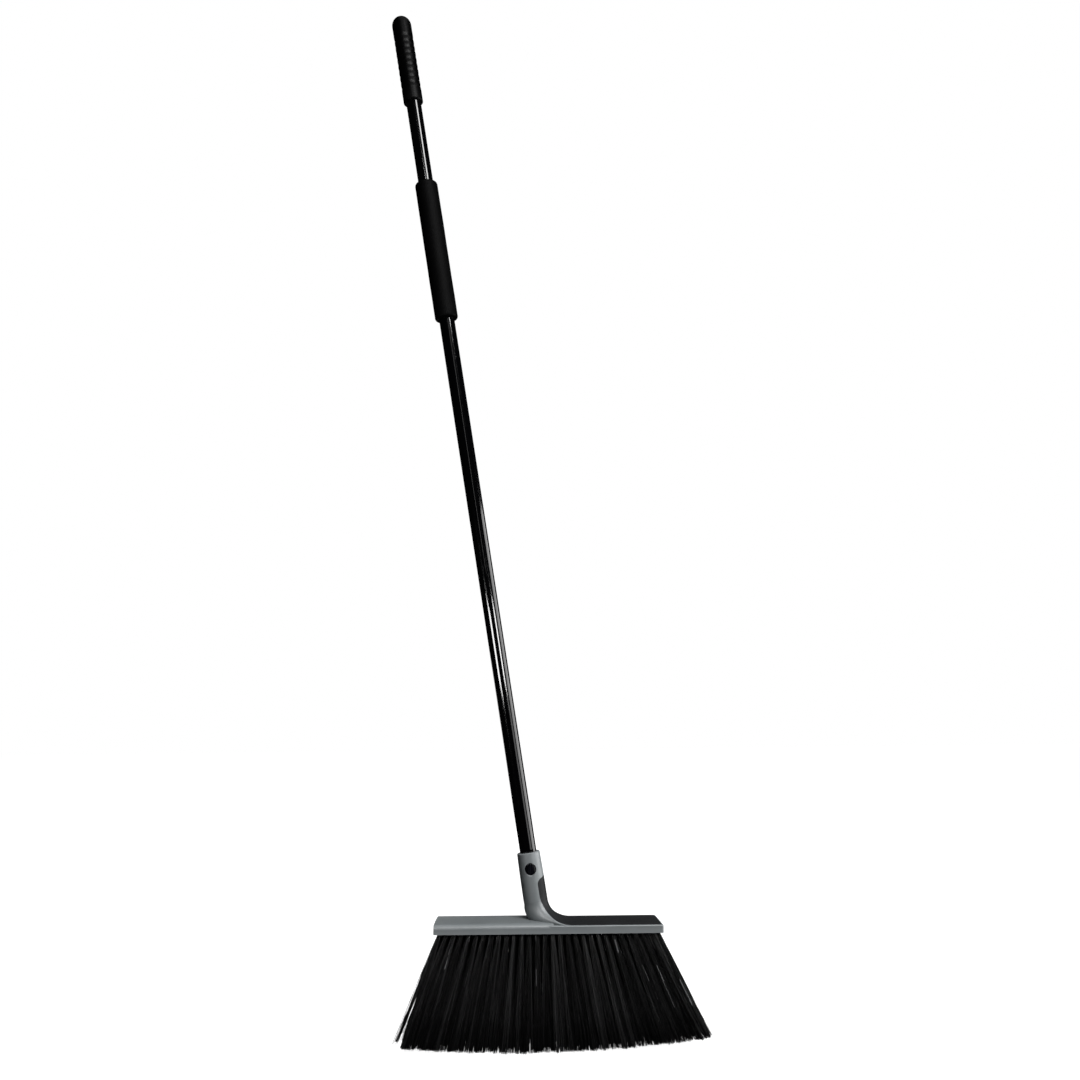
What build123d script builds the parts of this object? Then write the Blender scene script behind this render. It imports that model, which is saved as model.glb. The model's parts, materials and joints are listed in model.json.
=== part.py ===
from build123d import *
from math import cos, radians, sin, tan
import os

# Upright angle broom. +Z is up, +X runs along the head towards its right end, and +Y points to
# the back. The origin is on the floor under the middle of the whole broom, and the bristles stand
# on Z = 0. All sizes are in millimetres.

# --- driving dimensions -------------------------------------------------------------------------
# Head
head_x = 10.0  # middle of the head, so that the box round the whole broom is centred on X = 0
head_length = 298.0
head_depth = 62.0
end_slant = 4.0  # the right end is this much shorter at the back than at the front
bristle_height = 141.0  # from the floor to the head's underside
lip_height = 10.0  # straight grey edge of the head's right half
bar_height = 13.3  # crown of the rounded left half
bar_crown = 1.2  # how much the crown stands over the bar's shoulders
bar_rounding = 6.5
edge_rounding = 1.0
lip_rounding = 1.4
corner_rounding = 2.6  # upright corners of the right end
pad_height = 13.0  # crown of the soft pad on the right half
pad_ledge = 1.8  # grey ledge left round the pad
pad_end_gap = 2.6  # grey ledge at the right end
pad_end_land = 0.3  # upright foot of the pad's right end
pad_end_slope = 1.6  # the pad's right end slants back by this much up to its crown

# Handle
pole_lean = 8.55  # degrees from upright, towards -X
pole_foot_x = head_x - 12.9  # where the handle's axis crosses the head's top
pole_foot_z = 152.0
tube_radius = 11.0
tube_wall = 0.6
tube_start = 27.5  # distances along the pole from its foot
tube_end = 1333.5
rim_height = 88.1
hole_height = 67.6
sleeve_start = 846.0
sleeve_end = 1062.8
grip_start = 1196.7
grip_end = 1342.2

# Neck and socket
rim_radius = 15.2
neck_radius = 16.0
neck_bulge = 0.2  # halfway up, the neck is this much slimmer than at the elbow
bore_clearance = 0.05
bore_floor = 26.0
rim_rounding = 0.7
hole_bevel = 1.2
elbow_radius = 30.0  # inside of the bend between the neck and the head's right half
boss_x = head_x + 6.5  # round foot of the neck, as wide as the head is deep

# Soft inlay
inlay_thickness = 1.8
neck_core_radius = 13.7
inlay_offset = 6.3  # its edge runs this far right of the neck's axis
inlay_end = 51.5  # up the pole, where the edge turns out to the neck's right side
inlay_rise = 13.0
inlay_end_radius = 8.0
inlay_bend_radius = 43.0

# Brush block
pocket_wall = 3.0
pocket_depth = 8.6
pocket_corner = 3.0
block_gap = 0.25
block_recess = 0.5
block_thickness = 8.0

screw_radius = 1.5
screw_length = 14.0
screw_head_radius = 2.7
screw_head_height = 1.6
screw_recess_radius = 0.9
screw_recess_depth = 1.0
screw_spots = ((-12.2, 5.5), (7.3, -5.5))  # from the head's middle
screw_clearance = 0.2
screw_play = 0.02
screw_tip_gap = 1.0

# Tufts
row_count = 5
tufts_per_row = 30
row_pitch = 11.0
row_splay = 2.6  # degrees that each row leans out more than the one inside it
end_tuft_x = 141.5  # from the head's middle to the last tuft
left_fan = -22.0  # degrees from straight down
right_fan = 26.5
trim_radius = 1890.0  # the bristle tips lie on this arc, seen from the front
trim_low_x = head_x - 36.0
trim_passes = 12  # to find where a tuft meets the arc
tuft_root_radius = 2.45
tuft_tip_radius = 3.5
tuft_hole_radius = 2.6
tuft_hole_depth = 6.4
tuft_root_depth = 4.6

anchor_height = 1.4
anchor_thickness = 0.4
anchor_bite = 0.15  # each end of an anchor bites into the hole's wall
anchor_gap = 0.1  # between a tuft's folded root and its anchor

# Snap button
button_radius = 7.1
button_hole_radius = 7.7
button_reach = 14.5  # from the pole's axis to the button's face
button_flange_start = 5.3
button_flange_thickness = 1.2
button_flange_radius = 7.9
button_rounding = 0.5
button_clearance = 0.1
spring_width = 7.0
spring_thickness = 0.5
spring_gap = 0.05  # between the strip and the button's flange
spring_back_gap = 1.0  # between the tube's inside and the middle of the strip's rear leg
spring_up = 7.0  # the front leg's ends, above and below the button's middle
spring_down = 8.0
spring_bend_down = 30.0  # the low bend, below the button's middle
spring_back_up = 8.0
spring_front_bend = 6.0
spring_low_bend = 3.0

# Grips and plugs
foam_radius = 16.7
foam_rounding = 4.0
grip_radius = 14.7
grip_rounding = 1.2
ribs_from_top = 39.6
rib_count = 8
rib_pitch = 9.98
rib_depth = 0.6
plug_gap = 0.05
plug_flange = 1.3
foot_plug_length = 8.0
head_plug_length = 15.0

os.makedirs("parts", exist_ok=True)

# --- shared places ------------------------------------------------------------------------------
lean = radians(pole_lean)
half_length = head_length / 2
half_depth = head_depth / 2
lip_top = bristle_height + lip_height
pole = Plane(
    origin=(pole_foot_x, 0, pole_foot_z),
    x_dir=(cos(lean), 0, sin(lean)),
    z_dir=(-sin(lean), 0, cos(lean)),
)
pole_side = Plane(origin=pole.origin, x_dir=pole.x_dir, z_dir=(0, -1, 0))  # X across, Y along the pole
pole_depth = Plane(origin=pole.origin, x_dir=(0, 1, 0), z_dir=pole.x_dir)  # X to the back, Y up it
front_view = Plane.XZ  # X across, Y up
pole_axis = Axis(pole.origin, pole.z_dir)


def finish(piece, label):
    """Labels a piece and writes it."""
    piece.part.label = label
    export_step(piece.part, f"parts/{label}.step")


def smooth_rise(share):
    """Rises from 0 to 1 with no slope at either end."""
    share = min(max(share, 0.0), 1.0)
    return share * share * (3 - 2 * share)


# --- head shape ---------------------------------------------------------------------------------
# The neck turns into the head's right half round a centre on its right. Every section of this
# elbow lies on a plane through that centre, and is two half ellipses that meet where it is widest.
pad_top = bristle_height + pad_height
elbow_centre_across = elbow_radius + neck_radius
elbow_centre_along = (
    pad_top + elbow_radius - pole_foot_z - elbow_centre_across * sin(lean)
) / cos(lean)
elbow_centre = pole.from_local_coords((elbow_centre_across, 0, elbow_centre_along))
elbow_turn = 90 - pole_lean
pad_end_x = head_x + half_length - pad_end_gap
pad_end_plane = Plane(
    origin=(pad_end_x - end_slant / 2, 0, lip_top),
    x_dir=(head_depth, end_slant, 0),
    z_dir=(end_slant, -head_depth, 0),
)
elbow_steps = 14
flare_start = 2.0  # degrees of turn where the neck starts to widen
flare_end = 56.0  # and where it has become as wide as the head
crown_end = pad_height - lip_height
crown_fade = 2.2  # how fast the inside of the bend goes from round to flat
heel_swell = 1.4  # how far the outside of the bend stands out of a plain arc
heel_end = 12.0  # degrees of turn where it has fully swollen
heel_sharpness = 8
elbow_step = 0.05  # the elbow starts this much inside the socket's outer wall
floor_skin = 1.5  # between the bend's lowest point and the head's underside


def elbow_plane(turn):
    """The section plane after this many degrees, with X pointing away from the elbow's centre."""
    angle = radians(turn + pole_lean)
    return Plane(
        origin=elbow_centre,
        x_dir=(-cos(angle), 0, -sin(angle)),
        z_dir=(sin(angle), 0, -cos(angle)),
    )


def elbow_section(turn, inset):
    """Inner radius, widest radius, outer radius and half width of one section."""
    inset += elbow_step
    angle = radians(turn + pole_lean)
    crown = crown_end + (neck_radius - crown_end) * max(1 - turn / elbow_turn, 0) ** crown_fade
    crown *= 1 - inset / neck_radius
    inner = elbow_radius + inset
    heel = elbow_radius + 2 * neck_radius + heel_swell * smooth_rise(turn / heel_end)
    deepest = (elbow_centre.Z - bristle_height - floor_skin) / sin(angle)
    outer = (heel**-heel_sharpness + deepest**-heel_sharpness) ** (-1 / heel_sharpness) - inset
    wide = half_depth - pad_ledge
    flare = smooth_rise((turn - flare_start) / (flare_end - flare_start))
    half_width = neck_radius + (wide - neck_radius) * flare
    return inner, inner + crown, outer, half_width - inset


def elbow(inset):
    """The solid elbow, or the core left under a skin of this thickness."""
    with BuildPart() as bend:
        for step in range(elbow_steps):
            turn = elbow_turn * step / (elbow_steps - 1)
            inner, widest, outer, half_width = elbow_section(turn, inset)
            with BuildSketch(elbow_plane(turn)):
                with BuildLine():
                    EllipticalCenterArc((widest, 0), widest - inner, half_width, 90, arc_size=180)
                    EllipticalCenterArc((widest, 0), outer - widest, half_width, 270, arc_size=180)
                make_face()
        loft()
    return bend.part


def head_outline(left, inset):
    """Corners of the head's plan from x = left to its slanted right end, drawn in by inset."""
    depth = half_depth - inset
    right = head_x + half_length - inset
    front_right = right - end_slant * inset / head_depth
    back_right = right - end_slant * (head_depth - inset) / head_depth
    return [(left, -depth), (front_right, -depth), (back_right, depth), (left, depth)]


def across_head(x):
    """A plane across the head, with X to the back and Y up from the head's underside."""
    return Plane(origin=(x, 0, bristle_height), x_dir=(0, 1, 0), z_dir=(1, 0, 0))


def left_bar():
    """The rounded grey bar from the head's left end to the middle of the neck's foot."""
    with BuildPart() as bar:
        with BuildSketch(across_head(head_x - half_length)) as profile:
            with BuildLine():
                Line((-half_depth, bar_height - bar_crown), (-half_depth, 0))
                Line((-half_depth, 0), (half_depth, 0))
                Line((half_depth, 0), (half_depth, bar_height - bar_crown))
                ThreePointArc(
                    (half_depth, bar_height - bar_crown),
                    (0, bar_height),
                    (-half_depth, bar_height - bar_crown),
                )
            make_face()
            fillet(profile.vertices().group_by(Axis.Y)[-1], bar_rounding)
        extrude(amount=boss_x - head_x + half_length)
        fillet(bar.faces().sort_by(Axis.X)[0].edges(), edge_rounding)
    return bar.part


def right_lip():
    """The straight lip under the right half, which starts as the neck's round foot."""
    with BuildPart() as lip:
        with BuildSketch(Plane.XY.offset(bristle_height)):
            with BuildLine():
                Polyline(*head_outline(boss_x, 0), close=True)
            make_face()
            with Locations((boss_x, 0)):
                Circle(half_depth)
        extrude(amount=lip_height)
        fillet(lip.edges().filter_by(Axis.Z).sort_by(Axis.X)[-2:], corner_rounding)
        fillet(lip.faces().sort_by(Axis.Z)[-1].edges(), lip_rounding)
    return lip.part


def socket():
    """The neck's straight length, from the elbow to the rim, still solid."""
    with BuildPart() as tube_socket:
        with BuildSketch(pole_side):
            with BuildLine():
                Polyline(
                    (rim_radius - rim_rounding, rim_height),
                    (0, rim_height),
                    (0, elbow_centre_along),
                    (neck_radius, elbow_centre_along),
                )
                ThreePointArc(
                    (neck_radius, elbow_centre_along),
                    (neck_radius - neck_bulge, (elbow_centre_along + rim_height) / 2),
                    (rim_radius, rim_height - rim_rounding),
                )
                Line((rim_radius, rim_height - rim_rounding), (rim_radius - rim_rounding, rim_height))
            make_face()
        revolve(axis=pole_axis)
    return tube_socket.part


with BuildPart() as head_body:
    add(left_bar())
    add(elbow(0))
    add(socket())
    with BuildSketch(elbow_plane(elbow_turn)):
        inner, widest, outer, half_width = elbow_section(elbow_turn, 0)
        with BuildLine():
            EllipticalCenterArc((widest, 0), widest - inner, half_width, 90, arc_size=180)
            EllipticalCenterArc((widest, 0), outer - widest, half_width, 270, arc_size=180)
        make_face()
    extrude(amount=pad_end_x - elbow_centre.X)
    # the pad's end slants with the head's and slopes back up to the crown
    with BuildSketch(pad_end_plane):
        with BuildLine():
            Polyline(
                (0, -lip_height / 2),
                (0, pad_end_land),
                (-pad_end_slope, pad_top - lip_top),
                (2 * end_slant, pad_top - lip_top),
                (2 * end_slant, -lip_height / 2),
                close=True,
            )
        make_face()
    extrude(amount=head_depth, both=True, mode=Mode.SUBTRACT)
    add(right_lip())

# --- soft inlay ---------------------------------------------------------------------------------
# Seen from the front, its edge starts at the neck's right side under the button, runs down beside
# the neck's axis and bends into the lip's top.
inlay_line = pole.from_local_coords((inlay_offset, 0, 0))
inlay_corner_x = inlay_line.X - (lip_top - inlay_line.Z) * tan(lean)
inlay_top = pole.from_local_coords((inlay_offset, 0, inlay_end))
inlay_tip = pole.from_local_coords((2 * neck_radius, 0, inlay_end + inlay_rise))
past_right_end = head_x + head_length

with BuildPart() as inlay_space:
    with BuildSketch(front_view):
        with BuildLine():
            FilletPolyline(
                (inlay_tip.X, inlay_tip.Z),
                (inlay_top.X, inlay_top.Z),
                (inlay_corner_x, lip_top),
                (past_right_end, lip_top),
                radius=[inlay_end_radius, inlay_bend_radius],
            )
            Polyline(
                (past_right_end, lip_top),
                (past_right_end, inlay_tip.Z),
                (inlay_tip.X, inlay_tip.Z),
            )
        make_face()
    extrude(amount=head_depth, both=True)
    # what stays grey under the inlay
    add(elbow(inlay_thickness), mode=Mode.SUBTRACT)
    with BuildSketch(pole.offset(elbow_centre_along)):
        Circle(neck_core_radius)
    extrude(amount=rim_height, mode=Mode.SUBTRACT)

with BuildPart() as soft_inlay:
    add(head_body.part)
    add(inlay_space.part, mode=Mode.INTERSECT)
finish(soft_inlay, "soft_inlay")

# --- tuft places --------------------------------------------------------------------------------
block_bottom = bristle_height + block_recess


def tuft_row_y(row):
    """How far behind the head's middle a row stands, where row 0 is the front one."""
    return (row - row_count // 2) * row_pitch


def tuft_places(row):
    """One plane for each tuft of a row: origin on the block's underside, +Z along the bristles."""
    count = tufts_per_row - row % 2
    shorter = end_slant * (tuft_row_y(row) + half_depth) / head_depth
    pitch = (2 * end_tuft_x - shorter) / (tufts_per_row - 1)
    splay = radians((row - row_count // 2) * row_splay)
    places = []
    for index in range(count):
        across = (index + row % 2 / 2) * pitch - end_tuft_x
        share = (across + end_tuft_x) / (2 * end_tuft_x)
        fan = radians(left_fan + (right_fan - left_fan) * share)
        direction = Vector(tan(fan), tan(splay), -1).normalized()
        places.append(
            Plane(
                origin=(head_x + across, tuft_row_y(row), block_bottom),
                x_dir=Vector(0, 1, 0).cross(direction),
                z_dir=direction,
            )
        )
    return places


def tuft_length(place):
    """Length from the block's underside to the arc that the bristle tips are cut to."""
    length = bristle_height
    for _ in range(trim_passes):
        tip = place.origin + place.z_dir * length
        trim = (tip.X - trim_low_x) ** 2 / (2 * trim_radius)
        length += (tip.Z - trim) / -place.z_dir.Z
    return length


all_tufts = [place for row in range(row_count) for place in tuft_places(row)]

# --- head cover ---------------------------------------------------------------------------------
button_plane = Plane(
    origin=pole.from_local_coords((0, 0, hole_height)),
    x_dir=pole.x_dir,
    z_dir=(0, -1, 0),
)
screw_places = [
    (head_x + screw_x, screw_y, block_bottom) for screw_x, screw_y in screw_spots
]

with BuildPart() as head_cover:
    add(head_body.part)
    add(inlay_space.part, mode=Mode.SUBTRACT)
    # pocket for the brush block
    with BuildSketch(Plane.XY.offset(bristle_height)) as pocket:
        with BuildLine():
            Polyline(*head_outline(head_x - half_length + pocket_wall, pocket_wall), close=True)
        make_face()
        fillet(pocket.vertices(), pocket_corner)
    extrude(amount=pocket_depth, mode=Mode.SUBTRACT)
    # bore for the handle
    with BuildSketch(pole.offset(bore_floor)):
        Circle(tube_radius + bore_clearance)
    extrude(amount=rim_height, mode=Mode.SUBTRACT)
    # round hole for the button, with a bevelled rim
    with BuildSketch(button_plane):
        Circle(button_hole_radius)
    extrude(amount=2 * neck_radius, mode=Mode.SUBTRACT)
    with BuildSketch(button_plane.offset(neck_radius - hole_bevel)):
        Circle(button_hole_radius)
    with BuildSketch(button_plane.offset(neck_radius)):
        Circle(button_hole_radius + hole_bevel)
    loft(mode=Mode.SUBTRACT)
    # pilot holes for the screws
    with Locations(*screw_places):
        Cylinder(
            screw_radius,
            screw_length,
            align=(Align.CENTER, Align.CENTER, Align.MIN),
            mode=Mode.SUBTRACT,
        )
finish(head_cover, "head_cover")

# --- brush block --------------------------------------------------------------------------------
block_inset = pocket_wall + block_gap
with BuildPart() as brush_block:
    with BuildSketch(Plane.XY.offset(block_bottom)) as block_plan:
        with BuildLine():
            Polyline(*head_outline(head_x - half_length + block_inset, block_inset), close=True)
        make_face()
        fillet(block_plan.vertices(), pocket_corner)
    extrude(amount=block_thickness)
    with Locations(*[Plane(place.origin, place.x_dir, -place.z_dir) for place in all_tufts]):
        Cylinder(
            tuft_hole_radius,
            2 * tuft_hole_depth,
            mode=Mode.SUBTRACT,
        )
    with Locations(*screw_places):
        Cylinder(screw_radius + screw_clearance, 3 * block_thickness, mode=Mode.SUBTRACT)
        Cone(
            screw_head_radius + screw_clearance,
            screw_radius,
            screw_head_height,
            align=(Align.CENTER, Align.CENTER, Align.MIN),
            mode=Mode.SUBTRACT,
        )
finish(brush_block, "brush_block")

with BuildPart() as block_screws:
    with Locations(*screw_places):
        Cylinder(
            screw_radius - screw_play,
            screw_length - screw_tip_gap,
            align=(Align.CENTER, Align.CENTER, Align.MIN),
        )
        Cone(
            screw_head_radius,
            screw_radius - screw_play,
            screw_head_height,
            align=(Align.CENTER, Align.CENTER, Align.MIN),
        )
        Cylinder(
            screw_recess_radius,
            2 * screw_recess_depth,
            mode=Mode.SUBTRACT,
        )
finish(block_screws, "block_screws")

# --- bristles -----------------------------------------------------------------------------------
for row in range(row_count):
    with BuildPart() as bristle_row:
        for place in tuft_places(row):
            length = tuft_length(place)
            with Locations(place.offset(-tuft_root_depth)):
                Cone(
                    tuft_root_radius,
                    tuft_tip_radius,
                    length + tuft_root_depth,
                    align=(Align.CENTER, Align.CENTER, Align.MIN),
                )
    finish(bristle_row, f"bristle_row_{row + 1}")

with BuildPart() as tuft_anchors:
    anchor_depth = tuft_root_depth + anchor_gap + anchor_height / 2
    with Locations(*[place.offset(-anchor_depth) for place in all_tufts]):
        Box(2 * tuft_hole_radius + 2 * anchor_bite, anchor_thickness, anchor_height)
finish(tuft_anchors, "tuft_anchors")

# --- handle -------------------------------------------------------------------------------------
tube_inside = tube_radius - tube_wall
with BuildPart() as handle_tube:
    with BuildSketch(pole.offset(tube_start)):
        Circle(tube_radius)
        Circle(tube_inside, mode=Mode.SUBTRACT)
    extrude(amount=tube_end - tube_start)
    with BuildSketch(button_plane):
        Circle(button_radius + button_clearance)
    extrude(amount=2 * tube_radius, mode=Mode.SUBTRACT)
finish(handle_tube, "handle_tube")

with BuildPart() as tube_foot_plug:
    with BuildSketch(pole.offset(tube_start)):
        Circle(tube_inside - plug_gap)
    extrude(amount=foot_plug_length)
    with BuildSketch(pole.offset(tube_start)):
        Circle(tube_radius - plug_gap)
    extrude(amount=-plug_flange)
finish(tube_foot_plug, "tube_foot_plug")

with BuildPart() as tube_head_plug:
    with BuildSketch(pole.offset(tube_end)):
        Circle(tube_inside - plug_gap)
    extrude(amount=-head_plug_length)
    with BuildSketch(pole.offset(tube_end)):
        Circle(tube_radius - plug_gap)
    extrude(amount=plug_flange)
finish(tube_head_plug, "tube_head_plug")

# --- snap button and its spring -----------------------------------------------------------------
with BuildPart() as snap_button:
    with BuildSketch(button_plane.offset(button_flange_start)):
        Circle(button_flange_radius)
    extrude(amount=button_flange_thickness)
    with BuildSketch(button_plane.offset(button_flange_start)):
        Circle(button_radius)
    extrude(amount=button_reach)
    with BuildSketch(pole.offset(hole_height - 2 * button_radius)):
        Circle(button_reach)
    extrude(amount=4 * button_radius, mode=Mode.INTERSECT)
    fillet(snap_button.faces().sort_by(Axis.Y)[0].edges(), button_rounding)
finish(snap_button, "snap_button")

# The strip stands behind the button's flange, runs down the tube and comes back up its rear wall.
spring_front = spring_thickness / 2 + spring_gap - button_flange_start
spring_back = tube_inside - spring_back_gap
with BuildPart() as button_spring:
    with BuildSketch(pole_depth):
        with BuildLine():
            FilletPolyline(
                (spring_front, hole_height + spring_up),
                (spring_front, hole_height - spring_down),
                (spring_back, hole_height - spring_bend_down),
                (spring_back, hole_height + spring_back_up),
                radius=[spring_front_bend, spring_low_bend],
            )
        trace(line_width=spring_thickness)
    extrude(amount=spring_width / 2, both=True)
finish(button_spring, "button_spring")

# --- grips --------------------------------------------------------------------------------------
with BuildPart() as foam_sleeve:
    with BuildSketch(pole.offset(sleeve_start)):
        Circle(foam_radius)
        Circle(tube_radius + bore_clearance, mode=Mode.SUBTRACT)
    extrude(amount=sleeve_end - sleeve_start)
    outer_rims = foam_sleeve.edges().filter_by(GeomType.CIRCLE).group_by(SortBy.RADIUS)[-1]
    fillet(outer_rims, foam_rounding)
finish(foam_sleeve, "foam_sleeve")

with BuildPart() as end_grip:
    with BuildSketch(pole_side):
        with BuildLine():
            dome_start = grip_end - grip_radius
            ribs_start = grip_end - ribs_from_top
            ribs_end = ribs_start - rib_count * rib_pitch
            cavity_end = tube_end + 2 * plug_gap + plug_flange
            # dome and plain top
            ThreePointArc(
                (0, grip_end),
                (grip_radius * sin(radians(45)), dome_start + grip_radius * cos(radians(45))),
                (grip_radius, dome_start),
            )
            Line((grip_radius, dome_start), (grip_radius, ribs_start + rib_pitch / 2))
            Line((grip_radius, ribs_start + rib_pitch / 2), (grip_radius - rib_depth, ribs_start))
            # barrel-shaped rings
            for rib in range(rib_count):
                top = ribs_start - rib * rib_pitch
                ThreePointArc(
                    (grip_radius - rib_depth, top),
                    (grip_radius, top - rib_pitch / 2),
                    (grip_radius - rib_depth, top - rib_pitch),
                )
            # plain collar
            Line((grip_radius - rib_depth, ribs_end), (grip_radius, ribs_end - rib_pitch / 2))
            Polyline(
                (grip_radius, ribs_end - rib_pitch / 2),
                (grip_radius, grip_start + grip_rounding),
                (grip_radius - grip_rounding, grip_start),
                (tube_radius + bore_clearance, grip_start),
                (tube_radius + bore_clearance, cavity_end),
                (0, cavity_end),
                (0, grip_end),
            )
        make_face()
    revolve(axis=pole_axis)
finish(end_grip, "end_grip")
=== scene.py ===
import json
import math

import bmesh
import bpy
import numpy as np
from mathutils import Matrix, Vector

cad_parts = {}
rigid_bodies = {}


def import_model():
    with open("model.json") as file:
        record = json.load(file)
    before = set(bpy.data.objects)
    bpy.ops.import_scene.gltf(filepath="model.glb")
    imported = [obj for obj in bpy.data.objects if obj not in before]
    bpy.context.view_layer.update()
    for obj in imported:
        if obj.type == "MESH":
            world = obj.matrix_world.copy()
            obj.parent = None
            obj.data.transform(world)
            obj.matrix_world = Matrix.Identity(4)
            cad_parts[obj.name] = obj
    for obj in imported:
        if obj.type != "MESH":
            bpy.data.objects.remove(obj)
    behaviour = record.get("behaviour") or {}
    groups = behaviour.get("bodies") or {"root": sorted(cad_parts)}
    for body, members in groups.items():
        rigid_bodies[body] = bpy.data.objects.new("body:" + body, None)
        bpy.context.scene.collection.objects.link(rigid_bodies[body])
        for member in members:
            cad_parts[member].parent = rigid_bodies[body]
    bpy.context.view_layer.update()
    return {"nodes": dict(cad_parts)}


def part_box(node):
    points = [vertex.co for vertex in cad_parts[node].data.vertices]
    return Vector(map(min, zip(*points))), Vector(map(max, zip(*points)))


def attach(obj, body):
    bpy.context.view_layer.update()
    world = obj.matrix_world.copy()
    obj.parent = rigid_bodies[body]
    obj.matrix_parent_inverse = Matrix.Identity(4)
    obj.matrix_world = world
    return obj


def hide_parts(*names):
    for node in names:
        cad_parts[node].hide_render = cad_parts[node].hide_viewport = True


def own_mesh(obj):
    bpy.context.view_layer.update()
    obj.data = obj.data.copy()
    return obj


for left_over in list(bpy.data.objects):
    bpy.data.objects.remove(left_over, do_unlink=True)

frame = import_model()
NODES = frame["nodes"]
MM = 0.001
rng = np.random.default_rng(41)


# --- reading the frame --------------------------------------------------------------------------
def node_points(node):
    return np.array([v.co for v in NODES[node].data.vertices], float).reshape(-1, 3)


def axis_of(node):
    """(middle of the axis, the axis pointing up) of a long round node, from the rings at its ends."""
    points = node_points(node)
    low = points[points[:, 2].argmin()]
    high = points[points[:, 2].argmax()]
    # ever thinner slices at the ends bring the guess onto the axis
    for slice_depth in (0.6 * MM, 0.3 * MM, 0.1 * MM, 0.03 * MM):
        axis = (high - low) / np.linalg.norm(high - low)
        along = points @ axis
        low = points[along < along.min() + slice_depth].mean(0)
        high = points[along > along.max() - slice_depth].mean(0)
    return (low + high) / 2, axis


END_POINTS = 12  # of a solid tuft's end, enough for a first guess of its axis
END_SLICE = 0.3 * MM


def tufts_of(node):
    """(root centre, tip centre) of every tuft of a bristle row, from the left to the right."""
    mesh = NODES[node].data
    points = node_points(node)
    _, same = np.unique(np.round(points * 1e6).astype(np.int64), axis=0, return_inverse=True)
    same = same.reshape(-1)
    edges = np.zeros(len(mesh.edges) * 2, np.int64)
    mesh.edges.foreach_get("vertices", edges)
    parent = np.arange(same.max() + 1)

    def root_of(i):
        while parent[i] != i:
            parent[i] = parent[parent[i]]
            i = parent[i]
        return i

    for a, b in same[edges.reshape(-1, 2)]:
        ra, rb = root_of(a), root_of(b)
        if ra != rb:
            parent[rb] = ra
    group = np.array([root_of(i) for i in same])
    found = []
    for g in np.unique(group):
        mine = points[group == g]
        mine = mine[np.argsort(mine[:, 2])]
        axis = mine[:END_POINTS].mean(0) - mine[-END_POINTS:].mean(0)
        for _ in range(3):
            axis = axis / np.linalg.norm(axis)
            along = mine @ axis
            root = mine[along < along.min() + END_SLICE].mean(0)
            tip = mine[along > along.max() - END_SLICE].mean(0)
            axis = tip - root
        found.append((root, tip))
    return sorted(found, key=lambda pair: pair[0][0])


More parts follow.
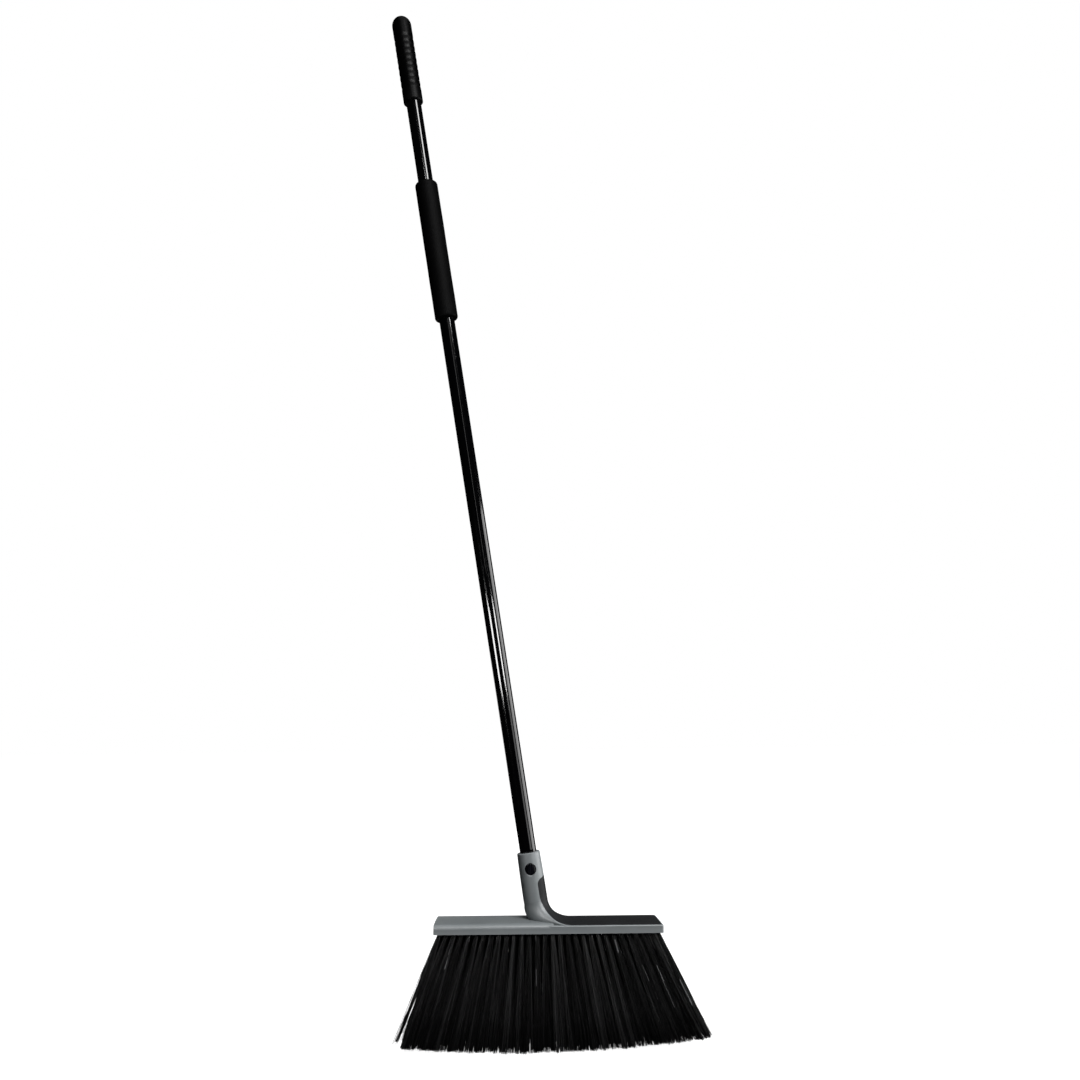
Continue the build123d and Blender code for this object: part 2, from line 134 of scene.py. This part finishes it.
# --- materials ----------------------------------------------------------------------------------
class Look:
    """A Principled material whose colour, roughness and bump come from noise in object space."""

    def __init__(self, name, **sockets):
        self.material = bpy.data.materials.new(name)
        self.material.use_nodes = True
        self.tree = self.material.node_tree
        self.shader = self.tree.nodes["Principled BSDF"]
        for key, value in sockets.items():
            self.shader.inputs[key.replace("_", " ")].default_value = value
        self.place = self.tree.nodes.new("ShaderNodeTexCoord").outputs["Object"]

    def join(self, a, b):
        self.tree.links.new(a, b)

    def stretched(self, rotation, scale):
        """Object coordinates turned, then scaled along each axis."""
        node = self.tree.nodes.new("ShaderNodeMapping")
        node.vector_type = "POINT"
        node.inputs["Rotation"].default_value = rotation
        node.inputs["Scale"].default_value = scale
        self.join(self.place, node.inputs["Vector"])
        return node.outputs["Vector"]

    def noise(self, scale, detail=2.0, rough=0.5, at=None):
        node = self.tree.nodes.new("ShaderNodeTexNoise")
        node.inputs["Scale"].default_value = scale
        node.inputs["Detail"].default_value = detail
        node.inputs["Roughness"].default_value = rough
        self.join(at or self.place, node.inputs["Vector"])
        return node.outputs["Fac"]

    def cells(self, scale, at=None, feature="F1"):
        node = self.tree.nodes.new("ShaderNodeTexVoronoi")
        node.feature = feature
        node.inputs["Scale"].default_value = scale
        self.join(at or self.place, node.inputs["Vector"])
        return node.outputs["Distance"]

    def spread(self, value, low, high, to_low, to_high):
        """value from low to high becomes to_low to to_high."""
        node = self.tree.nodes.new("ShaderNodeMapRange")
        for key, number in (
            ("From Min", low), ("From Max", high), ("To Min", to_low), ("To Max", to_high),
        ):
            node.inputs[key].default_value = number
        self.join(value, node.inputs["Value"])
        return node.outputs["Result"]

    def mix(self, share, a, b):
        """A colour between a and b, by a value from 0 to 1."""
        node = self.tree.nodes.new("ShaderNodeMix")
        node.data_type = "RGBA"
        for socket, colour in ((node.inputs["A"], a), (node.inputs["B"], b)):
            if isinstance(colour, tuple):
                socket.default_value = (*colour, 1)
            else:
                self.join(colour, socket)
        self.join(share, node.inputs["Factor"])
        return node.outputs["Result"]

    def mottled(self, cloud, dark, light):
        """A colour that drifts between two with a noise."""
        return self.mix(self.spread(cloud, 0.3, 0.7, 0, 1), dark, light)

    def sums(self, a, b, weight):
        """a plus b times weight."""
        node = self.tree.nodes.new("ShaderNodeMath")
        node.operation = "MULTIPLY_ADD"
        self.join(b, node.inputs[0])
        node.inputs[1].default_value = weight
        self.join(a, node.inputs[2])
        return node.outputs["Value"]

    def edges(self, low, high):
        """0 on flat parts and 1 on outer edges."""
        node = self.tree.nodes.new("ShaderNodeNewGeometry")
        return self.spread(node.outputs["Pointiness"], low, high, 0, 1)

    def each(self):
        """A number from 0 to 1 for every separate strand of a mesh."""
        return self.tree.nodes.new("ShaderNodeNewGeometry").outputs["Random Per Island"]

    def colour(self, value):
        self.join(value, self.shader.inputs["Base Color"])

    def rough(self, value):
        self.join(value, self.shader.inputs["Roughness"])

    def bump(self, height, depth, strength=1.0):
        node = self.tree.nodes.new("ShaderNodeBump")
        node.inputs["Strength"].default_value = strength
        node.inputs["Distance"].default_value = depth
        self.join(height, node.inputs["Height"])
        self.join(node.outputs["Normal"], self.shader.inputs["Normal"])


def moulded_grey():
    look = Look("moulded_grey", Specular_IOR_Level=0.5)
    cloud = look.noise(28, 4, 0.6)
    base = look.mottled(cloud, (0.158, 0.174, 0.180), (0.184, 0.201, 0.207))
    worn = look.edges(0.52, 0.60)
    look.colour(look.mix(worn, base, (0.215, 0.232, 0.238)))
    grain = look.noise(2600, 3, 0.6)
    look.rough(look.spread(look.sums(grain, cloud, 1.0), 0.6, 1.4, 0.35, 0.47))
    look.bump(grain, 0.00012, 0.30)
    return look.material


def soft_charcoal():
    look = Look("soft_charcoal", Specular_IOR_Level=0.12)
    cloud = look.noise(34, 4, 0.6)
    base = look.mottled(cloud, (0.0104, 0.0109, 0.0117), (0.0130, 0.0137, 0.0149))
    look.colour(look.mix(look.edges(0.52, 0.62), base, (0.034, 0.036, 0.038)))
    grain = look.cells(1900)
    look.rough(look.spread(look.noise(420, 3), 0.3, 0.7, 0.50, 0.64))
    look.bump(grain, 0.00010, 0.35)
    return look.material


def gloss_black(turn):
    look = Look("gloss_black", Specular_IOR_Level=0.4)
    drawn = look.stretched(turn, (1, 1, 0.02))
    scratches = look.noise(1500, 2, 0.5, drawn)
    dust = look.noise(900, 5, 0.7)
    dusty = look.spread(dust, 0.66, 0.80, 0, 1)
    look.colour(look.mix(dusty, (0.0004, 0.0004, 0.0006), (0.003, 0.003, 0.0035)))
    look.rough(look.spread(scratches, 0.35, 0.75, 0.06, 0.12))
    look.bump(look.noise(260, 2, 0.4), 0.00012, 0.05)
    return look.material


BUTTON_STREAK_TURN = (0, math.radians(-8.55), 0)


def button_black():
    look = Look("button_black", Specular_IOR_Level=0.2)
    streak = look.noise(1400, 2, 0.5, look.stretched(BUTTON_STREAK_TURN, (1, 1, 0.03)))
    # the lighter bluish streaks in the colour, along the pole's lean, are painted reflection streaks;
    # the same noise also sets real roughness and bump
    painted_streaks = look.spread(streak, 0.4, 0.7, 0, 1)
    look.colour(look.mix(painted_streaks, (0.0004, 0.0004, 0.0010), (0.006, 0.0065, 0.010)))
    look.rough(look.spread(streak, 0.3, 0.7, 0.12, 0.26))
    look.bump(streak, 0.00010, 0.25)
    return look.material


def foam_black():
    look = Look("foam_black", Specular_IOR_Level=0.022)
    pores = look.cells(1500)
    cloud = look.noise(60, 4, 0.65)
    base = look.mottled(cloud, (0.0004, 0.0004, 0.0005), (0.0009, 0.0009, 0.0010))
    # the pores are painted darker than the rest: painted shade in the pits that the bump makes
    look.colour(look.mix(look.spread(pores, 0.0, 0.35, 0, 1), (0.0002, 0.0002, 0.0002), base))
    look.rough(look.spread(look.noise(700, 3), 0.3, 0.7, 0.48, 0.60))
    look.bump(look.sums(pores, look.noise(520, 4, 0.7), 0.6), 0.00035, 0.45)
    return look.material


def rubber_black():
    look = Look("rubber_black", Specular_IOR_Level=0.035)
    cloud = look.noise(70, 4, 0.6)
    base = look.mottled(cloud, (0.0004, 0.0004, 0.0005), (0.0008, 0.0008, 0.0009))
    look.colour(look.mix(look.edges(0.53, 0.62), base, (0.004, 0.004, 0.0042)))
    look.rough(look.spread(look.noise(500, 3), 0.3, 0.7, 0.28, 0.36))
    look.bump(look.cells(2300), 0.00008, 0.35)
    return look.material


def plain_black(name):
    look = Look(name, Specular_IOR_Level=0.4)
    cloud = look.noise(50, 4, 0.6)
    look.colour(look.mottled(cloud, (0.006, 0.006, 0.006), (0.010, 0.010, 0.010)))
    look.rough(look.spread(look.noise(600, 3), 0.3, 0.7, 0.42, 0.56))
    look.bump(look.noise(2200, 2), 0.00008, 0.3)
    return look.material


def drawn_steel():
    look = Look("drawn_steel", Metallic=1.0)
    lines = look.noise(1600, 3, 0.6, look.stretched((0, 0, 0), (1, 1, 0.06)))
    look.colour(look.mix(lines, (0.42, 0.42, 0.43), (0.60, 0.60, 0.61)))
    look.rough(look.spread(lines, 0.3, 0.7, 0.24, 0.40))
    look.bump(lines, 0.00005, 0.2)
    return look.material


def filament_black(name, glow):
    """The bristles' black, whose lightest strands are glow times as light as the plain ones."""
    look = Look(name, Specular_IOR_Level=0.16 * glow)
    one = look.each()
    along = look.noise(120, 2, 0.5)
    # whole tufts differ too
    broad = look.noise(150, 1, 0.5, look.stretched((0, 0, 0), (1, 1, 0.12)))
    tuft = look.spread(broad, 0.36, 0.64, 0, 1)
    dull = (0.0008 * glow, 0.0008 * glow, 0.0011 * glow)
    bright = (0.0028 * glow, 0.0028 * glow, 0.0034 * glow)
    base = look.mix(one, (0.0004, 0.0004, 0.0006), look.mix(tuft, dull, bright))
    look.colour(look.mix(look.spread(along, 0.45, 0.75, 0, 0.5), base, (0.0045, 0.0045, 0.0046)))
    look.rough(look.spread(one, 0, 1, 0.34, 0.58))
    look.bump(look.noise(1800, 2), 0.00004, 0.3)
    return look.material


def filament_glint():
    look = Look("filament_glint", Specular_IOR_Level=0.6)
    one = look.each()
    # painted glints: the short steps of strands that catch the light are painted light grey to white
    look.colour(look.mix(one, (0.08, 0.08, 0.084), (0.50, 0.50, 0.51)))
    look.rough(look.spread(look.noise(900, 2), 0.3, 0.7, 0.20, 0.34))
    look.bump(look.noise(1800, 2), 0.00004, 0.3)
    return look.material


def paint(node, material):
    for place in NODES[node].material_slots:
        place.material = material


# --- meshes -------------------------------------------------------------------------------------
def mesh_object(name, points, corners, starts, materials, which=None, smooth=True):
    """A mesh from flat arrays: face k has the corners from starts[k] up to the next start."""
    mesh = bpy.data.meshes.new(name)
    mesh.vertices.add(len(points))
    mesh.vertices.foreach_set("co", np.asarray(points, np.float32).ravel())
    mesh.loops.add(len(corners))
    mesh.loops.foreach_set("vertex_index", np.asarray(corners, np.int32))
    mesh.polygons.add(len(starts))
    mesh.polygons.foreach_set("loop_start", np.asarray(starts, np.int32))
    if which is not None:
        mesh.polygons.foreach_set("material_index", np.asarray(which, np.int32))
    mesh.polygons.foreach_set("use_smooth", np.full(len(starts), smooth))
    for material in materials:
        mesh.materials.append(material)
    mesh.update(calc_edges=True)
    mesh.validate()
    obj = bpy.data.objects.new(name, mesh)
    bpy.context.scene.collection.objects.link(obj)
    return obj


def turned(name, centre, axis, profile, count, materials, wobble=None):
    """A closed profile of (distance along the axis, radius) turned round the axis."""
    axis = axis / np.linalg.norm(axis)
    across = np.cross((0.0, 1.0, 0.0), axis)
    across /= np.linalg.norm(across)
    other = np.cross(axis, across)
    angles = np.arange(count) * 2 * math.pi / count
    along = np.array([p[0] for p in profile])[:, None]
    radius = np.array([p[1] for p in profile])[:, None] * np.ones((1, count))
    if wobble is not None:
        radius = radius + wobble(along, angles[None, :])
    points = (
        centre
        + along[:, :, None] * axis
        + radius[:, :, None]
        * (np.cos(angles)[None, :, None] * across + np.sin(angles)[None, :, None] * other)
    )
    rings = len(profile)
    i = np.arange(rings)[:, None]
    j = np.arange(count)[None, :]
    a = i * count + j
    b = i * count + (j + 1) % count
    c = (i + 1) % rings * count + (j + 1) % count
    d = (i + 1) % rings * count + j
    corners = np.stack([a, b, c, d], -1).reshape(-1)
    return mesh_object(name, points.reshape(-1, 3), corners, np.arange(rings * count) * 4, materials)


def outward(obj):
    """Turns the mesh's faces so that they look out."""
    work = bmesh.new()
    work.from_mesh(obj.data)
    bmesh.ops.recalc_face_normals(work, faces=work.faces)
    work.to_mesh(obj.data)
    work.free()


# --- bristles -----------------------------------------------------------------------------------
SHARES = np.array([0, 0.10, 0.21, 0.33, 0.47, 0.70, 0.995, 1.0])  # where a strand has its rings
PER_TUFT = 128
FILAMENT_RADIUS = 0.26 * MM
# two numbers are for across the tuft, towards the head's right end, and for towards the front
BUNDLE_RADIUS = 1.9 * MM  # of a tuft where it leaves its hole, or up to BUNDLE_EXTRA more
BUNDLE_EXTRA = 0.5 * MM
FAN = np.array([8.0, 7.0]) * MM  # radius of a tuft at its end
FAN_CHANGE = 0.14  # from tuft to tuft
LEAN = np.array([1.3, 1.2]) * MM  # of a whole tuft
SCATTER = np.array([2.6, 1.8]) * MM  # of each filament
WISPS = 12  # six round the middle of a tuft and six round its outside
WISP_CORE = 0.66  # the inner wisps' share of the radius
WISP_WIDTH = 0.6  # of what it would be without wisps
LIGHT_WISPS = 0.34  # share of the wisps
UNEVEN = 0.25 * MM  # of the trimmed ends
SHORT_STRANDS = 0.06  # share of the filaments that end up to SHORT_BY higher
SHORT_BY = 3 * MM
END_FAN = 0.62  # the end tufts' spread, as a share of the others'
END_STEP = 1.0 * MM  # how far out their loose filaments stand, and how unevenly
END_SCATTER = 1.3 * MM
SECOND_SHIFT = 4.0 * MM  # of the second tuft from the left, to the right
STRAYS = 0.018  # share of the filaments
STRAY_SCATTER = np.array([5.5, 4.0]) * MM
BOW = np.array([0.7, 0.8]) * MM
CURL = 0.9 * MM
TRIM_PASSES = 8
ROOT_WIDTH = 0.9  # of a strand's width, at its upper end
LONE_GLINTS = 0.006  # share of the filaments
GLINT_TUFTS = 0.26  # share of the tufts with a group of glints
# the direction out, the share of loose filaments, how far the others are pulled in, and how much
# higher the loose ones end
LEFT_END = (-1, 0.20, 12.5 * MM, 6.5 * MM)
RIGHT_END = (1, 0.12, 3.0 * MM, 1.5 * MM)


def unit(v):
    return v / np.linalg.norm(v, axis=-1, keepdims=True)


def strands(paths, radius, phase):
    """Three-sided strands with pointed tips along paths of shape (strand, step, 3).

    Returns the points, the faces' corners and starts, and the number of faces per strand."""
    count, steps, _ = paths.shape
    tangent = unit(np.gradient(paths, axis=1))
    side = unit(np.cross(tangent, np.array([0.0, 1.0, 0.0])))
    up = np.cross(tangent, side)
    shape = np.ones(steps)
    shape[0] = ROOT_WIDTH
    turns = phase[:, None] + np.arange(3)[None, :] * 2 * math.pi / 3
    ring = (
        np.cos(turns)[:, None, :, None] * side[:, :-1, None, :]
        + np.sin(turns)[:, None, :, None] * up[:, :-1, None, :]
    )
    width = radius[:, None, None, None] * shape[None, :-1, None, None]
    bodies = paths[:, :-1, None, :] + ring * width
    tips = paths[:, -1:, :]
    points = np.concatenate([bodies.reshape(count, -1, 3), tips], axis=1)
    per = points.shape[1]
    corners, starts, at = [], [], 0
    for s in range(steps - 2):
        for k in range(3):
            a, b = s * 3 + k, s * 3 + (k + 1) % 3
            corners += [a, b, b + 3, a + 3]
            starts.append(at)
            at += 4
    last = (steps - 2) * 3
    for k in range(3):
        corners += [last + k, last + (k + 1) % 3, per - 1]
        starts.append(at)
        at += 3
    corners += [2, 1, 0]
    starts.append(at)
    at += 3
    offset = np.arange(count)
    all_corners = np.array(corners)[None, :] + offset[:, None] * per
    all_starts = np.array(starts)[None, :] + offset[:, None] * at
    return points.reshape(-1, 3), all_corners.ravel(), all_starts.ravel(), len(starts)


def gather(far, rho, phi):
    """Draws neighbouring filaments together in wisps, and says which filaments are in a light one."""
    wisp = (np.floor(phi * 3 / math.pi) + 6 * (rho > WISP_CORE)).astype(int)
    for one in range(WISPS):
        mine = wisp == one
        if mine.any():
            middle = far[mine].mean(0)
            far[mine] = middle + WISP_WIDTH * (far[mine] - middle)
    return (rng.random(WISPS) < LIGHT_WISPS)[wisp]


def pull_in(far, short, end):
    """Pulls an end tuft in, but for a few filaments that stand out on their own."""
    out, share, pull, lift = end
    loose = rng.random(PER_TUFT) < share
    far[:, 0] = END_FAN * far[:, 0] - out * pull
    far[loose, 0] = out * (END_STEP + END_SCATTER * rng.standard_normal(loose.sum()))
    short[loose] += lift * (0.6 + 0.8 * rng.random(loose.sum()))


def spread_tuft(index, last):
    """Where the filaments start and aim, measured from a tuft's axis, how much higher than the trim
    they end, and which are light."""
    rho = np.sqrt(rng.random(PER_TUFT))
    phi = rng.random(PER_TUFT) * 2 * math.pi
    disc = np.stack([rho * np.cos(phi), rho * np.sin(phi)], -1)
    near = (BUNDLE_RADIUS + BUNDLE_EXTRA * rng.random()) * disc
    fan = FAN * (1 + FAN_CHANGE * rng.standard_normal(2))
    far = fan * disc + rng.standard_normal(2) * LEAN
    far += rng.standard_normal((PER_TUFT, 2)) * SCATTER
    light = gather(far, rho, phi)
    short = np.abs(rng.standard_normal(PER_TUFT)) * UNEVEN
    short += (rng.random(PER_TUFT) < SHORT_STRANDS) * rng.random(PER_TUFT) * SHORT_BY
    if index == 0:
        pull_in(far, short, LEFT_END)
    if index == last:
        pull_in(far, short, RIGHT_END)
    if index == 1:
        far[:, 0] += SECOND_SHIFT
    stray = rng.random(PER_TUFT) < STRAYS
    far[stray] += rng.standard_normal((stray.sum(), 2)) * STRAY_SCATTER
    return near, far, short, light


def cut(start, aim, trim, short):
    """Where filaments from start towards aim end, at the height of the trim or on the floor."""
    heading = unit(aim - start)
    reach = np.linalg.norm(aim - start, axis=1)
    for _ in range(TRIM_PASSES):
        end = start + heading * reach[:, None]
        low = np.maximum(np.polyval(trim, end[:, 0]), 0) + short
        reach += (end[:, 2] - low) / -heading[:, 2]
    return start + heading * reach[:, None]


def sideways(near, far):
    """How far each ring of the filaments is off its straight line, across and to the front."""
    share = SHARES[None, :, None]
    # a tuft leaves its hole as one bundle and opens further down
    bundle = (near - far)[:, None, :] * (share - share ** (0.95 + 0.4 * rng.random()))
    bow = rng.standard_normal((PER_TUFT, 1, 2)) * BOW * np.sin(math.pi * share)
    curl = rng.standard_normal((PER_TUFT, 1, 2)) * CURL * share**3 * (1 - share) * 4
    return bundle + bow + curl


def glints(far):
    """The step over which a strand catches the light, or -1 for most strands."""
    steps = len(SHARES) - 4
    lone = rng.random(PER_TUFT) < LONE_GLINTS
    found = np.where(lone, rng.integers(0, steps + 1, PER_TUFT), -1)
    if rng.random() < GLINT_TUFTS:
        # neighbours at the front catch it at about the same height
        foremost = far[:, 1].argmax()
        close = np.argsort(np.linalg.norm(far - far[foremost], axis=1))[: rng.integers(2, 6)]
        found[close] = rng.integers(0, steps) + (rng.random(len(close)) < 0.25)
    return found


def bristle_row(number, node, trim, materials):
    """Loose filaments in place of one row's solid tufts."""
    tufts = tufts_of(node)
    paths, glint_step, light = [], [], []
    share = SHARES[None, :, None]
    for index, (root, tip) in enumerate(tufts):
        axis = unit(tip - root)
        across = unit(np.array([1.0, 0, 0]) - axis[0] * axis)
        front = np.cross(axis, across)
        near, far, short, lighter = spread_tuft(index, len(tufts) - 1)
        start = root + near[:, :1] * across + near[:, 1:] * front
        aim = tip + far[:, :1] * across + far[:, 1:] * front
        end = cut(start, aim, trim, short)
        straight = start[:, None, :] + (end - start)[:, None, :] * share
        off = sideways(near, far)
        paths.append(straight + off[:, :, :1] * across + off[:, :, 1:] * front)
        glint_step.append(glints(far))
        light.append(lighter)
    paths, glint_step, light = np.concatenate(paths), np.concatenate(glint_step), np.concatenate(light)
    radius = FILAMENT_RADIUS * (0.85 + 0.3 * rng.random(len(paths)))
    points, corners, starts, per = strands(paths, radius, rng.random(len(paths)) * 2)
    # 0 is plain, 1 is a painted glint and 2 is a light wisp; a step of a strand has three faces
    which = np.where(light, 2, 0)[:, None] * np.ones((1, per), int)
    lit = np.flatnonzero(glint_step >= 0)
    which[lit[:, None], 3 * glint_step[lit, None] + np.arange(3)] = 1
    obj = mesh_object(f"filaments_row_{number}", points, corners, starts, materials, which.ravel())
    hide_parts(node)
    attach(obj, "broom")


rows = sorted(n for n in NODES if n.startswith("bristle_row_"))
tips = np.array([tip for node in rows for _, tip in tufts_of(node)])
trim = np.polyfit(tips[:, 0], tips[:, 2], 2)
bristle_looks = [
    filament_black("filament_black", 1.0),
    filament_glint(),
    filament_black("filament_sheen", 2.7),
]
for number, node in enumerate(rows, 1):
    bristle_row(number, node, trim, bristle_looks)

# --- handle -------------------------------------------------------------------------------------
pole_centre, pole_axis = axis_of("handle_tube")
pole_turn = (0, -math.atan2(pole_axis[0], pole_axis[2]), 0)


def ring_sizes(node):
    """(lowest place along the pole, highest place, smallest radius, largest radius) of a node."""
    offset = node_points(node) - pole_centre
    along = offset @ pole_axis
    radius = np.linalg.norm(offset - along[:, None] * pole_axis, axis=1)
    return along.min(), along.max(), radius.min(), radius.max()


TUBE_WALL = 0.6 * MM
TUBE_RINGS = 41
TUBE_SIDES = 144
HOLE_RADIUS = 7.2 * MM  # of the button's hole in the tube
HOLE_SIDES = 64
FOAM_ROUNDING = 4 * MM  # of the sleeve's ends
FOAM_RINGS = 150
FOAM_SIDES = 128
FOAM_WAVE = 0.05 * MM
FOAM_INSET = 0.08 * MM
# the length of a wave along the sleeve, and how often it goes round
FOAM_WAVES = ((17 * MM, 2), (9 * MM, -3), (31 * MM, 1))


def make_tube():
    low, high, _, outer = ring_sizes("handle_tube")
    inner = outer - TUBE_WALL
    rings = np.linspace(low, high, TUBE_RINGS)
    profile = [(a, outer) for a in rings] + [(a, inner) for a in rings[::-1]]
    look = [gloss_black(pole_turn)]
    tube = turned("tube_wall", pole_centre, pole_axis, profile, TUBE_SIDES, look)
    outward(tube)
    # the button's hole
    button_low, button_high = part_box("snap_button")
    middle = (button_low + button_high) / 2
    depth = outer * 2
    cutter = turned(
        "hole_cutter",
        np.array([middle.x, -depth, middle.z]),
        np.array([0.0, 1.0, 1e-6]),
        [(0, 1e-5), (0, HOLE_RADIUS), (depth, HOLE_RADIUS), (depth, 1e-5)],
        HOLE_SIDES,
        [],
    )
    outward(cutter)
    cut = tube.modifiers.new("hole", "BOOLEAN")
    cut.operation = "DIFFERENCE"
    cut.solver = "EXACT"
    cut.object = cutter
    bpy.context.view_layer.update()
    done = bpy.data.meshes.new_from_object(tube.evaluated_get(bpy.context.evaluated_depsgraph_get()))
    tube.modifiers.clear()
    tube.data = done
    bpy.data.objects.remove(cutter, do_unlink=True)
    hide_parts("handle_tube")
    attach(tube, "broom")


def make_foam():
    low, high, inner, outer = ring_sizes("foam_sleeve")
    lower = [
        (low + FOAM_ROUNDING * (1 - math.cos(a)), outer - FOAM_ROUNDING * (1 - math.sin(a)))
        for a in np.linspace(0, math.pi / 2, 12)
    ]
    upper = [(low + high - a, r) for a, r in lower[::-1]]
    rings = np.linspace(low + FOAM_ROUNDING, high - FOAM_ROUNDING, FOAM_RINGS)[1:-1]
    middle = [(a, outer) for a in rings]
    profile = [(low + 0.2 * MM, inner), (low, inner + 0.3 * MM)] + lower + middle + upper
    profile += [(high, inner + 0.3 * MM), (high - 0.2 * MM, inner)]
    phases = rng.random(len(FOAM_WAVES)) * 6.28

    def soft(along, angle):
        """Slow unevenness of the foam, of about 0.1 mm."""
        wave = sum(
            np.sin(along / length + rounds * angle + phase)
            for (length, rounds), phase in zip(FOAM_WAVES, phases)
        )
        return FOAM_WAVE * wave - FOAM_INSET

    foam = turned("foam_tube", pole_centre, pole_axis, profile, FOAM_SIDES, [foam_black()], soft)
    outward(foam)
    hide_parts("foam_sleeve")
    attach(foam, "broom")


def make_spring(steel):
    """A steel copy of the leaf spring, which on the real broom flattens as the button goes in."""
    spring = bpy.data.objects.new("leaf_spring", NODES["button_spring"].data.copy())
    bpy.context.scene.collection.objects.link(spring)
    for place in spring.material_slots:
        place.material = steel
    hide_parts("button_spring")
    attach(spring, "broom")
    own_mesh(spring)


steel = drawn_steel()
make_tube()
make_foam()
make_spring(steel)

# --- CAD nodes that stay ------------------------------------------------------------------------
paint("head_cover", moulded_grey())
paint("soft_inlay", soft_charcoal())
paint("brush_block", plain_black("block_black"))
plug_black = plain_black("plug_black")
paint("tube_foot_plug", plug_black)
paint("tube_head_plug", plug_black)
paint("end_grip", rubber_black())
paint("snap_button", button_black())
for node in ("block_screws", "tuft_anchors"):
    paint(node, steel)


# --- floor, light and camera --------------------------------------------------------------------
FLOOR_HALF = 9.0
FLOOR_DROP = 0.0006  # the bristles' ends stay just above it


def make_floor():
    corners = [(-1, -1), (1, -1), (1, 1), (-1, 1)]
    points = [(FLOOR_HALF * x, FLOOR_HALF * y, 0) for x, y in corners]
    material = bpy.data.materials.new("pale_floor")
    material.use_nodes = True
    tree = material.node_tree
    shader = tree.nodes["Principled BSDF"]
    shader.inputs["Base Color"].default_value = (0.35, 0.35, 0.35, 1)
    shader.inputs["Roughness"].default_value = 0.9
    shader.inputs["Specular IOR Level"].default_value = 0.0
    shader.inputs["Emission Color"].default_value = (1, 1, 1, 1)
    shader.inputs["Emission Strength"].default_value = 1.0
    floor = mesh_object("floor", points, [0, 1, 2, 3], [0], [material], smooth=False)
    floor.location.z = -FLOOR_DROP
    floor.visible_glossy = False
    floor.visible_diffuse = False


def softbox(name, place, aim, width, height, strength, glossy_only=False):
    """An area light of a given radiance, facing a point."""
    data = bpy.data.lights.new(name, "AREA")
    data.shape = "RECTANGLE"
    data.size = width
    data.size_y = height
    data.energy = strength * width * height * math.pi
    light = bpy.data.objects.new(name, data)
    bpy.context.scene.collection.objects.link(light)
    light.location = place
    light.rotation_euler = (Vector(aim) - Vector(place)).to_track_quat("-Z", "Y").to_euler()
    light.visible_camera = False
    light.visible_diffuse = not glossy_only
    return light


# name, place, aim, width, height and radiance
ROOM = [
    ("side_right", (1.80, 0.10, 0.65), (0, 0, 0.35), 1.5, 1.45, 6.0),
    ("front", (0.70, -1.70, 2.22), (0, 0, 0.15), 1.5, 0.24, 68.0),
    ("overhead", (0.2, -0.5, 2.6), (0, 0, 0.3), 1.4, 1.0, 1.7),
    ("back_fill", (-0.9, 2.0, 0.25), (0, 0, 0.3), 1.2, 0.4, 1.5),
]
BACK = ("back", (0.1, 2.3, 0.7), (0, 0, 0.5), 1.0, 1.0, 2.5)
STREAKS = [
    ("strip_left", (-0.63, -0.98, 0.50), (-0.08, 0, 0.50), 0.42, 0.22, 32.0),
    ("strip_right", (0.77, -1.01, 0.727), (-0.08, 0, 0.60), 0.34, 0.23, 34.0),
    ("strip_right_low", (0.98, -0.95, 0.36), (-0.05, 0, 0.30), 0.50, 0.50, 2.5),
    ("strip_right_high", (0.72, -1.01, 2.18), (-0.18, 0, 1.27), 0.40, 0.60, 22.0),
    ("strip_thin", (0.19, -1.47, 1.25), (-0.10, 0, 0.90), 0.10, 0.75, 2.5),
    ("streak", (-0.09, -1.70, 2.05), (-0.04, 0, 0.15), 0.10, 0.22, 60.0),
]


def make_lights():
    for light in ROOM:
        softbox(*light)
    # the back light shows in no gloss, and the narrow boxes show in nothing else
    softbox(*BACK).visible_glossy = False
    for light in STREAKS:
        softbox(*light, glossy_only=True)


def make_world():
    world = bpy.data.worlds.new("studio")
    bpy.context.scene.world = world
    world.use_nodes = True
    tree = world.node_tree
    tree.nodes.clear()
    seen = tree.nodes.new("ShaderNodeBackground")
    seen.inputs["Color"].default_value = (1, 1, 1, 1)
    seen.inputs["Strength"].default_value = 1.0
    fill = tree.nodes.new("ShaderNodeBackground")
    fill.inputs["Color"].default_value = (0.9, 0.95, 1.0, 1)
    fill.inputs["Strength"].default_value = 0.012
    path = tree.nodes.new("ShaderNodeLightPath")
    mix = tree.nodes.new("ShaderNodeMixShader")
    out = tree.nodes.new("ShaderNodeOutputWorld")
    tree.links.new(path.outputs["Is Camera Ray"], mix.inputs["Fac"])
    tree.links.new(fill.outputs["Background"], mix.inputs[1])
    tree.links.new(seen.outputs["Background"], mix.inputs[2])
    tree.links.new(mix.outputs["Shader"], out.inputs["Surface"])


CAMERA_PLACE = (0.0041, -1.3865, 0.4295)
CAMERA_PITCH = math.radians(99.5)
CAMERA_ROLL = math.radians(-0.6)
CAMERA_SENSOR = 36.0
CAMERA_LENS = 33.33


def make_camera():
    data = bpy.data.cameras.new("camera")
    data.sensor_width = CAMERA_SENSOR
    data.lens = CAMERA_LENS
    data.clip_start = 0.01
    data.clip_end = 50
    camera = bpy.data.objects.new("camera", data)
    bpy.context.scene.collection.objects.link(camera)
    turn = Matrix.Rotation(CAMERA_PITCH, 4, "X") @ Matrix.Rotation(CAMERA_ROLL, 4, "Z")
    camera.matrix_world = Matrix.Translation(CAMERA_PLACE) @ turn
    bpy.context.scene.camera = camera


make_floor()
make_lights()
make_world()
make_camera()
bpy.context.scene.view_settings.view_transform = "Standard"

bpy.context.view_layer.update()
